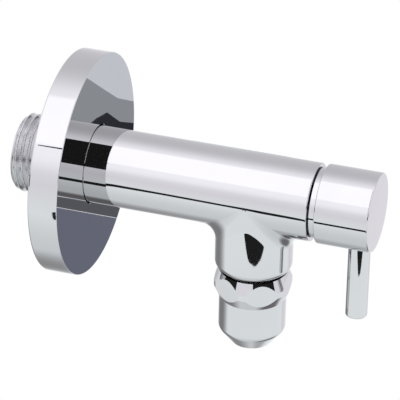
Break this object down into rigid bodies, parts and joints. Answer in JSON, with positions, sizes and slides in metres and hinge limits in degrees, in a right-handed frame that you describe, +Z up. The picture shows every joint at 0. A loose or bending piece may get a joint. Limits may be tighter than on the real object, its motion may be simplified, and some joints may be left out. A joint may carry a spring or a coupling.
{
  "type": "angle valve",
  "caption": "Quarter-turn angle valve: chromed tube body with a round wall rosette, a turning cap with a lever pin, and a compression outlet that points down.",
  "frame": {"origin": "on the body's axis in the wall plane, which is the rosette's back plane and the front end of the inlet thread", "axes": "+Y along the body's axis into the wall, -Y towards the handle, -Z down along the outlet, +Z up"},
  "size_m": [0.0596, 0.0972, 0.0743],
  "materials": {
    "chrome": "polished chrome plating on brass",
    "brass": "turned brass",
    "rubber": "smooth moulded rubber",
    "ceramic": "lapped alumina",
    "steel": "spring steel and stainless sheet",
    "plastic": "low-friction plastic"
  },
  "bodies": {
    "body": {"valve_body": "chrome", "headwork_housing": "brass", "headwork_o_ring": "rubber", "cover_ring": "chrome", "slide_washer": "plastic", "fixed_disc": "ceramic", "seat_seal": "rubber", "seat_support_ring": "steel"},
    "handle": {"handle_cap": "chrome", "lever_pin": "chrome", "spindle": "brass", "spindle_o_ring_lower": "rubber", "spindle_o_ring_upper": "rubber", "spindle_circlip": "steel", "stop_ring": "brass", "rotating_disc": "ceramic"},
    "rosette": {"wall_rosette": "chrome", "rosette_grip_ring": "rubber"},
    "ring": {"compression_ring": "brass"},
    "nut": {"compression_nut": "chrome"}
  },
  "joints": [
    {"name": "handle_turn", "type": "hinge", "parent": "body", "child": "handle", "pos_m": [0, -0.07, 0], "axis": [0, 1, 0], "range_deg": [0, 90]},
    {"name": "rosette_slide", "type": "slide", "parent": "body", "child": "rosette", "axis": [0, -1, 0], "range_m": [0, 0.025]},
    {"name": "nut_travel", "type": "slide", "parent": "body", "child": "ring", "axis": [0, 0, -1], "range_m": [0, 0.0054]},
    {"name": "nut_turn", "type": "hinge", "parent": "ring", "child": "nut", "pos_m": [0, -0.0519, -0.03], "axis": [0, 0, -1], "range_deg": [0, 1440]}
  ],
  "couplings": [
    {"joint": "nut_travel", "follows": "nut_turn", "m_per_rad": 0.00021279}
  ]
}
